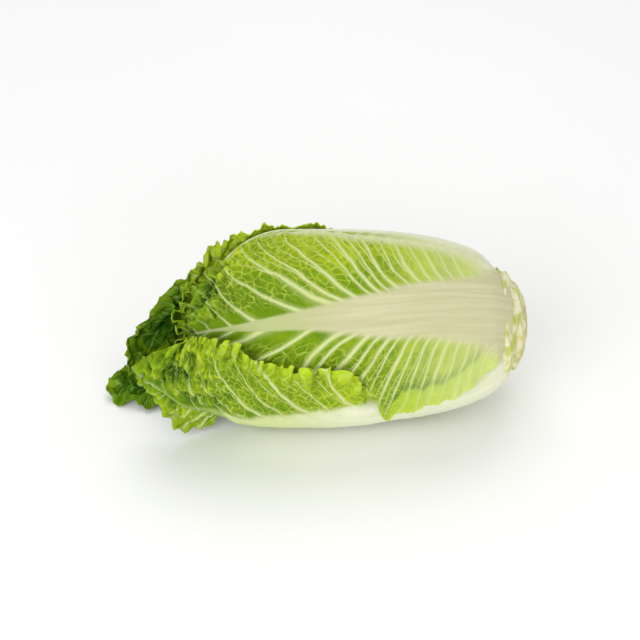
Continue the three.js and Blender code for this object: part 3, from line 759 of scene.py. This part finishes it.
CUT_RING, CUT_GROOVE = 8.5, 0.5  # the ring of bundles in it, and its depth


def around_noise(azimuth, lumps, y, seed):
    """Noise with so many lumps round the stem."""
    turn = azimuth / (2 * math.pi)
    there, back = noise(lumps * turn, y, seed), noise(lumps * (turn - 1), y, seed)
    return there * (1 - ease(5 * turn - 4)) + back * ease(5 * turn - 4)


def stem_radii(side_u, hidden_u):
    """The stump's radius where it shows and where petioles hide it."""
    bed = outline_of(0.5, 60)
    barrel = [bed[key][:OUTLINE_STEPS] for key in ("u", "r")]
    held, hidden = np.interp(side_u, *barrel), np.interp(hidden_u, *barrel)
    sink = FOOT_SINK * (1 - ease((side_u - PETIOLE_FOOT) / FOOT_BEND))
    neck_u, neck_r = STEM_PROFILE[-1]
    neck = np.minimum(neck_r + NECK_SLOPE * (side_u - neck_u), held + RIB_RISE - sink - PETIOLE_COVER)
    return np.where(side_u < neck_u, curve(STEM_PROFILE, side_u), neck), hidden - STEM_HOLD


def leaf_scars(u, azimuth):
    """The scars that trimmed leaves left, and their rims."""
    depth, rim = np.zeros_like(u), np.zeros_like(u)
    for k in range(1, SCAR_COUNT + 1):
        off = azimuth - math.radians(FIRST_AZIMUTH - GOLDEN_ANGLE * k)
        away = np.arctan2(np.sin(off), np.cos(off)) / SCAR_SPREAD
        along = (u - SCAR_START - SCAR_STEP * k) / SCAR_HEIGHT
        depth += np.exp(-(away**2) - along**2)
        rim += np.exp(-((np.hypot(away, along) - SCAR_RIM) / RIM_WIDTH) ** 2)
    return depth, rim


def stem_shell():
    """The stump: its cut face, a skin with leaf scars, and a cone hidden under the petioles."""
    rings, sides = STEM_SHAPE
    face = np.linspace(0, STEM_PROFILE[0][1], CUT_RINGS + 1)[1:]
    side_u = np.linspace(0, NECK_END, rings - CUT_RINGS - HIDDEN_RINGS + 1)[1:]
    hidden_u = np.linspace(HIDDEN_FROM, HIDDEN_TO, HIDDEN_RINGS)
    r = np.concatenate([face, *stem_radii(side_u, hidden_u)])
    u = np.concatenate([face * 0, side_u, hidden_u])
    turn = 2 * math.pi * np.arange(sides) / sides
    r, _ = np.meshgrid(r, turn, indexing="ij")
    u, azimuth = np.meshgrid(u, turn, indexing="ij")
    depth, rim = leaf_scars(u, azimuth)
    on_side = ease(u / 1.5)
    r = r * (1 - SCAR_DEPTH * depth * on_side)
    ragged = around_noise(azimuth, 22, u / 2.6, 51) + 0.5 * around_noise(azimuth, 52, u / 1.3, 54)
    lumps = around_noise(azimuth, 11, u / 7, 57)
    stray = around_noise(azimuth, 9, u * 0, 60) + 0.5 * around_noise(azimuth, 31, u * 0, 61)
    collar = np.exp(-(((u - COLLAR_PLACE - COLLAR_STRAY * stray) / COLLAR_WIDTH) ** 2))
    collar = COLLAR_RISE * collar * (1 + 0.4 * lumps + 0.3 * ragged) * ease((NECK_END - u) / 3)
    torn = 0.6 * ragged + lumps + np.clip(rim, 0, 1)
    r = r + on_side * torn * ease((TORN_END - u) / 4) + collar
    crown = 0.35 * noise(r / 2.5, azimuth * 2, 53) + CUT_GROOVE * np.exp(-((r - CUT_RING) ** 2) / 3)
    x = CUT_FACE_X - u - CUT_INSET - crown * (1 - on_side)
    points = lathe_points(x, r, azimuth, (CUT_INSET, HIDDEN_TO))
    scar, rim = np.clip(depth, 0, 1) * on_side, np.clip(rim, 0, 1) * on_side
    facts = {"cut": 1 - on_side, "scar": scar, "rim": rim, "radius": r, "along": u}
    facts = {key: np.append(value.ravel(), [0, 0]) for key, value in facts.items()}
    return points, lathe_faces(rings, sides), facts, {}


# ---- Meshes ----
def to_object(name, points, faces, facts, vectors, node, slot, material):
    """A smooth object of quads, with its attributes, that stands for a node."""
    mesh = bpy.data.meshes.new(name)
    mesh.vertices.add(len(points))
    mesh.vertices.foreach_set("co", (points * MM).astype(np.float32).ravel())
    mesh.loops.add(faces.size)
    mesh.loops.foreach_set("vertex_index", faces.astype(np.int32).ravel())
    mesh.polygons.add(len(faces))
    mesh.polygons.foreach_set("loop_start", np.arange(0, faces.size, faces.shape[1], dtype=np.int32))
    mesh.update(calc_edges=True)
    mesh.polygons.foreach_set("use_smooth", np.ones(len(faces), bool))
    for key, value in facts.items():
        mesh.attributes.new(key, "FLOAT", "POINT").data.foreach_set("value", value.astype(np.float32))
    for key, value in vectors.items():
        attribute = mesh.attributes.new(key, "FLOAT_VECTOR", "POINT")
        attribute.data.foreach_set("vector", value.astype(np.float32).ravel())
    mesh.materials.append(material)
    piece = bpy.data.objects.new(name, mesh)
    bpy.context.scene.collection.objects.link(piece)
    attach(piece, "root")
    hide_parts(node)


# ---- Materials ----
class Value:
    """A node's output, on which a material's sums are written with operators."""

    def __init__(self, nodes, socket):
        self.nodes, self.socket = nodes, socket

    def __add__(self, other):
        return self.nodes.math("ADD", self, other)

    def __sub__(self, other):
        return self.nodes.math("SUBTRACT", self, other)

    def __mul__(self, other):
        return self.nodes.math("MULTIPLY", self, other)

    def __truediv__(self, other):
        return self.nodes.math("DIVIDE", self, other)


class Nodes:
    """Short calls for a material's node tree, which take and return Values."""

    def __init__(self, name):
        self.material = bpy.data.materials.new(name)
        self.material.use_nodes = True
        self.tree = self.material.node_tree

    def link(self, value, socket):
        """Feeds a socket with a Value, or sets it to a constant."""
        if isinstance(value, Value):
            self.tree.links.new(value.socket, socket)
        elif isinstance(value, tuple):
            socket.default_value = (*value, 1)[: len(socket.default_value)]
        else:
            socket.default_value = value

    def node(self, kind, inputs, output, **settings):
        """One output of a new node with these inputs and settings."""
        made = self.tree.nodes.new("ShaderNode" + kind)
        for key, value in settings.items():
            setattr(made, key, value)
        for key, value in inputs.items():
            self.link(value, made.inputs[key])
        return Value(self, made.outputs[output])

    def attribute(self, name, output="Fac"):
        return self.node("Attribute", {}, output, attribute_name=name)

    def math(self, operation, a, b=0, clamp=False):
        return self.node("Math", {0: a, 1: b}, 0, operation=operation, use_clamp=clamp)

    def remap(self, value, low, high, to_low=0, to_high=1):
        ends = {"From Min": low, "From Max": high, "To Min": to_low, "To Max": to_high}
        return self.node("MapRange", {"Value": value, **ends}, "Result", interpolation_type="SMOOTHSTEP")

    def mix(self, factor, a, b):
        return self.node("Mix", {"Factor": factor, "A": a, "B": b}, "Result", data_type="RGBA")

    def scaled(self, vector, scale):
        return self.node("VectorMath", {0: vector, 1: scale}, 0, operation="MULTIPLY")

    def object_place(self, scale):
        return self.scaled(self.node("TexCoord", {}, "Object"), (scale, scale, scale))

    def axis(self, vector, name):
        return self.node("SeparateXYZ", {0: vector}, name)

    def noise(self, vector, scale, detail=3, rough=0.55):
        inputs = {"Vector": vector, "Scale": scale, "Detail": detail, "Roughness": rough}
        return self.node("TexNoise", inputs, "Fac")

    def cells(self, vector, scale):
        kind = {"feature": "DISTANCE_TO_EDGE", "voronoi_dimensions": "2D"}
        return self.node("TexVoronoi", {"Vector": vector, "Scale": scale}, "Distance", **kind)

    def bump(self, height, distance, strength):
        return self.node("Bump", {"Strength": strength, "Distance": distance, "Height": height}, "Normal")

    def surface(self, inputs):
        """Sets the shader's own inputs, and returns the finished material."""
        for key, value in inputs.items():
            self.link(value, self.tree.nodes["Principled BSDF"].inputs[key])
        return self.material


def colour(red, green, blue):
    """A colour given as it shows on a screen, 0 to 255, as the shader's linear values."""
    return tuple(
        c / 12.92 if c <= 0.04045 else ((c + 0.055) / 1.055) ** 2.4
        for c in (red / 255, green / 255, blue / 255)
    )


PALE_BLADE = colour(168, 187, 12)
MID_BLADE = colour(102, 137, 0)
DARK_BLADE = colour(2, 64, 0)
YOUNG_EDGE = colour(183, 210, 28)
VEIN_COLOUR = colour(203, 210, 150)
VEIN_DARK = colour(134, 176, 72)
MARGIN_CREAM = colour(214, 216, 182)
NET_COLOUR = colour(188, 203, 86)
NET_DARK = colour(88, 148, 14)
RIB_COLOUR = colour(203, 200, 164)
RIB_SHADE = colour(182, 178, 138)
RIB_CREAM = colour(224, 228, 202)
CREAM_SHADE = colour(210, 210, 176)
CREAM_FAR = colour(202, 212, 152)
RIB_FAR = colour(178, 186, 130)


def leaf_material(name, rib, rib_shade, rib_far):
    """A green blade with its veins and net, and a midrib of these colours."""
    n = Nodes(name)
    place, weave = n.attribute("place", "Vector"), n.attribute("weave", "Vector")
    along, order = n.axis(place, "X"), n.axis(weave, "Z")
    tone, crinkle, span, half, aside = (
        n.attribute(key) for key in ("tone", "crinkle", "vein_span", "vein_half", "fork")
    )

    # Lateral veins with their branches, the net between them, its threads and its pits.
    off_vein = n.math("PINGPONG", order, 0.5) * span / half
    off_fork = n.math("ABSOLUTE", n.math("FRACT", order + 0.5) - 0.5 - aside) * span / half
    fork = n.remap(off_fork, 0.2, 1.2, 0.9, 0) * n.remap(aside, 0, 0.05)
    vein = n.math("MAXIMUM", n.remap(off_vein, 0.3, 1.6, 1, 0), fork)
    wall = n.cells(weave, 1 / CELL)
    net = n.remap(wall, 0.02, 0.1, 1, 0)
    thread = n.remap(n.cells(weave, THREADS / CELL), 0.02, 0.13, 1, 0)
    pit_depth_and_shade = n.remap(wall, 0.03, 0.34) * n.remap(off_vein, 1.2, 5)

    # The blade's green, with painted shade in the net's pits and painted light and shade on a crumpled
    # tip's folds.
    broad, mottle = n.noise(place, 0.03, 2), n.noise(place, 0.13, 4)
    depth = tone + (broad - 0.5) * 0.45 + (mottle - 0.5) * 0.42
    # Painted shade: the blade is a darker green in the net's sunken pits.
    depth = n.math("ADD", depth, pit_depth_and_shade * crinkle * 0.16, clamp=True)
    # Painted light and shade: lighter green on a crumpled tip's crests, darker in its hollows.
    depth = n.math("SUBTRACT", depth, n.attribute("crest") * 0.7, clamp=True)
    blade = n.mix(n.remap(depth, 0, 0.5), PALE_BLADE, MID_BLADE)
    blade = n.mix(n.remap(depth, 0.45, 1), blade, DARK_BLADE)
    edge = n.attribute("young") * n.remap(tone, 0.35, 0.95, 0.9, 0.4)
    blade = n.mix(edge, blade, YOUNG_EDGE)
    blade = n.mix(n.remap(along, 20, 115, 0.6, 0), blade, VEIN_COLOUR)
    blade = n.mix(n.attribute("pale"), blade, MARGIN_CREAM)

    # The net and the veins over it, fainter near a young margin and near the foot.
    dark = n.remap(tone, 0.35, 1)
    vein_tint = n.mix(dark, VEIN_COLOUR, VEIN_DARK)
    lines = n.math("MAXIMUM", net * n.remap(mottle, 0.35, 0.65, 0.25, 0.8), thread * 0.25)
    lines = lines * n.remap(crinkle, 0, 0.9, 0.15, 1)
    blade = n.mix(lines, blade, n.mix(dark, NET_COLOUR, NET_DARK))
    halo = n.remap(off_vein, 0.8, 4, 0.3, 0) * n.remap(tone, 0.3, 1, 1, 0.4)
    blade = n.mix(halo, blade, vein_tint)
    faint = n.remap(edge, 0.15, 0.55, 0, 0.7)
    seen = n.math("SUBTRACT", n.remap(tone, 0.3, 1, 0.95, 0.6), faint, clamp=True)
    blade = n.mix(vein * (seen * n.remap(along, 30, 120, 0.65, 1)), blade, vein_tint)

    # The midrib, with a smeared edge.
    fibres = n.noise(n.scaled(place, (0.012, 0.24, 0)), 1, 4, 0.6)
    smear = n.noise(n.scaled(place, (0.03, 0.14, 0)), 1, 2)
    flesh = n.mix(n.remap(fibres, 0.25, 0.75, 0.25, 1), rib_shade, rib)
    flesh = n.mix(n.remap(along, 110, 190), flesh, rib_far)
    on_rib = n.remap(n.attribute("rib") + (smear - 0.5) * 0.5, 0.25, 0.75)

    # Relief finer than the mesh.
    relief = (pit_depth_and_shade * -1 + thread * 0.12 + net * 0.35) * crinkle + vein * 0.5 + mottle * 0.5
    stripes = n.noise(n.scaled(place, (0.02, 0.5, 0)), 1, 3) * 0.25
    return n.surface({
        "Base Color": n.mix(on_rib, blade, flesh),
        "Roughness": n.remap(mottle, 0.2, 0.8, 0.34, 0.55),
        "Normal": n.bump(n.mix(on_rib, relief, stripes), 0.001, 0.55),
        "IOR": 1.42, "Specular IOR Level": 0.12,
        "Subsurface Weight": 0.5, "Subsurface Radius": (1, 1.2, 0.35), "Subsurface Scale": 0.0013,
    })


def stem_material():
    """The stump's pale skin, with its scars, and the tan of its cut face."""
    n = Nodes("cut_stem")
    where = n.object_place(1 / MM)
    patch, speck = n.noise(where, 0.11, 4), n.noise(where, 0.9, 3)
    skin = n.mix(n.remap(patch, 0.4, 0.62), colour(228, 224, 186), colour(186, 196, 88))
    skin = n.mix(n.attribute("scar") * 0.6, skin, colour(224, 214, 170))
    skin = n.mix(n.attribute("rim") * n.remap(speck, 0.3, 0.7, 0.2, 0.9), skin, colour(168, 150, 92))
    face = n.mix(n.remap(n.attribute("radius"), 6, 14), colour(222, 212, 170), colour(196, 168, 118))
    face = n.mix(n.remap(speck, 0.45, 0.8, 0, 0.7), face, colour(170, 136, 84))
    base = n.mix(n.attribute("cut"), skin, face)
    tan = n.remap(n.attribute("along"), 0.2, 3.2, 0.75, 0) * n.remap(speck, 0.3, 0.7, 0.5, 1)
    return n.surface({
        "Base Color": n.mix(tan, base, colour(190, 164, 110)),
        "Roughness": 0.55,
        "Normal": n.bump(speck + n.noise(where, 2.6, 3), 0.0006, 0.6),
        "Subsurface Weight": 0.3, "Subsurface Radius": (1, 0.8, 0.4), "Subsurface Scale": 0.002,
    })


cream_leaf = leaf_material("wrapper_leaf_cream", RIB_CREAM, CREAM_SHADE, CREAM_FAR)
buff_leaf = leaf_material("wrapper_leaf_buff", RIB_COLOUR, RIB_SHADE, RIB_FAR)

for leaf in wrapper_leaves:
    shell = leaf_shell(leaf, 0, *leaf["shape"])
    tint = buff_leaf if leaf is TOP else cream_leaf
    name = "wrapper_leaf_" + leaf["node"].split("_")[-1]
    to_object(name, *shell, leaf["node"], "wrapper_leaf", tint)

blades = [
    leaf_shell(heart_blade(i, *shape), HEART_START, *BLADE_SHAPE) for i, shape in enumerate(HEART_BLADES)
]
heart_green = leaf_material("heart_leaf", VEIN_COLOUR, colour(170, 190, 110), RIB_FAR)
to_object("heart_leaves", *joined([core_shell(), *blades]), "heart", "heart_leaf", heart_green)
to_object("stump", *stem_shell(), "cut_stem", "cut_stem", stem_material())

# ---- Camera, lights and floor, in metres ----
VIEW_CENTRE = Vector((0.0050, 0.0050, 0.0708))
VIEW_ELEVATION = math.radians(36)
VIEW_DISTANCE = 1.31
LENS, SENSOR = 100, 36  # in millimetres
LIT_PLACE = (0, 0, 0.05)


def look_at(thing, target):
    """Turns a camera or a lamp towards a place."""
    thing.rotation_euler = (Vector(target) - thing.location).to_track_quat("-Z", "Y").to_euler()


camera = bpy.data.objects.new("camera", bpy.data.cameras.new("camera"))
camera.data.lens, camera.data.sensor_width = LENS, SENSOR
back = Vector((0, -math.cos(VIEW_ELEVATION), math.sin(VIEW_ELEVATION)))
camera.location = VIEW_CENTRE + back * VIEW_DISTANCE
look_at(camera, VIEW_CENTRE)
bpy.context.scene.collection.objects.link(camera)
bpy.context.scene.camera = camera


def soft_light(name, place, size, power):
    """A square lamp that lights the middle of the head."""
    light = bpy.data.lights.new(name, "AREA")
    light.shape = "SQUARE"
    light.size = size
    light.energy = power
    lamp = bpy.data.objects.new(name, light)
    lamp.location = place
    look_at(lamp, LIT_PLACE)
    bpy.context.scene.collection.objects.link(lamp)


soft_light("key", (-0.9, -1.6, 1.25), 1.3, 20)
soft_light("front_fill", (0.8, -1.9, 0.45), 1.2, 14)
soft_light("overhead", (0, 0.8, 1.8), 1.6, 14)
world = bpy.data.worlds.new("studio")
world.use_nodes = True
backdrop = world.node_tree.nodes["Background"].inputs
backdrop["Color"].default_value = (1, 1, 1, 1)
backdrop["Strength"].default_value = 0.6
bpy.context.scene.world = world
bpy.context.scene.view_settings.view_transform = "Standard"


def floor_material():
    """A pale, slightly clouded floor."""
    n = Nodes("pale_floor")
    cloud = n.noise(n.object_place(3), 1, 2)
    pale = n.mix(cloud, (0.88, 0.88, 0.875), (0.91, 0.91, 0.905))
    return n.surface({"Base Color": pale, "Roughness": 0.7})


FLOOR_HALF = 4
FLOOR_DROP = 0.0002  # the floor lies this far under the part, so that the two don't share a plane
floor_mesh = bpy.data.meshes.new("floor")
corners = [(x * FLOOR_HALF, y * FLOOR_HALF, -FLOOR_DROP) for x, y in ((-1, -1), (1, -1), (1, 1), (-1, 1))]
floor_mesh.from_pydata(corners, [], [(0, 1, 2, 3)])
floor_mesh.materials.append(floor_material())
floor = bpy.data.objects.new("floor", floor_mesh)
bpy.context.scene.collection.objects.link(floor)

bpy.context.view_layer.update()
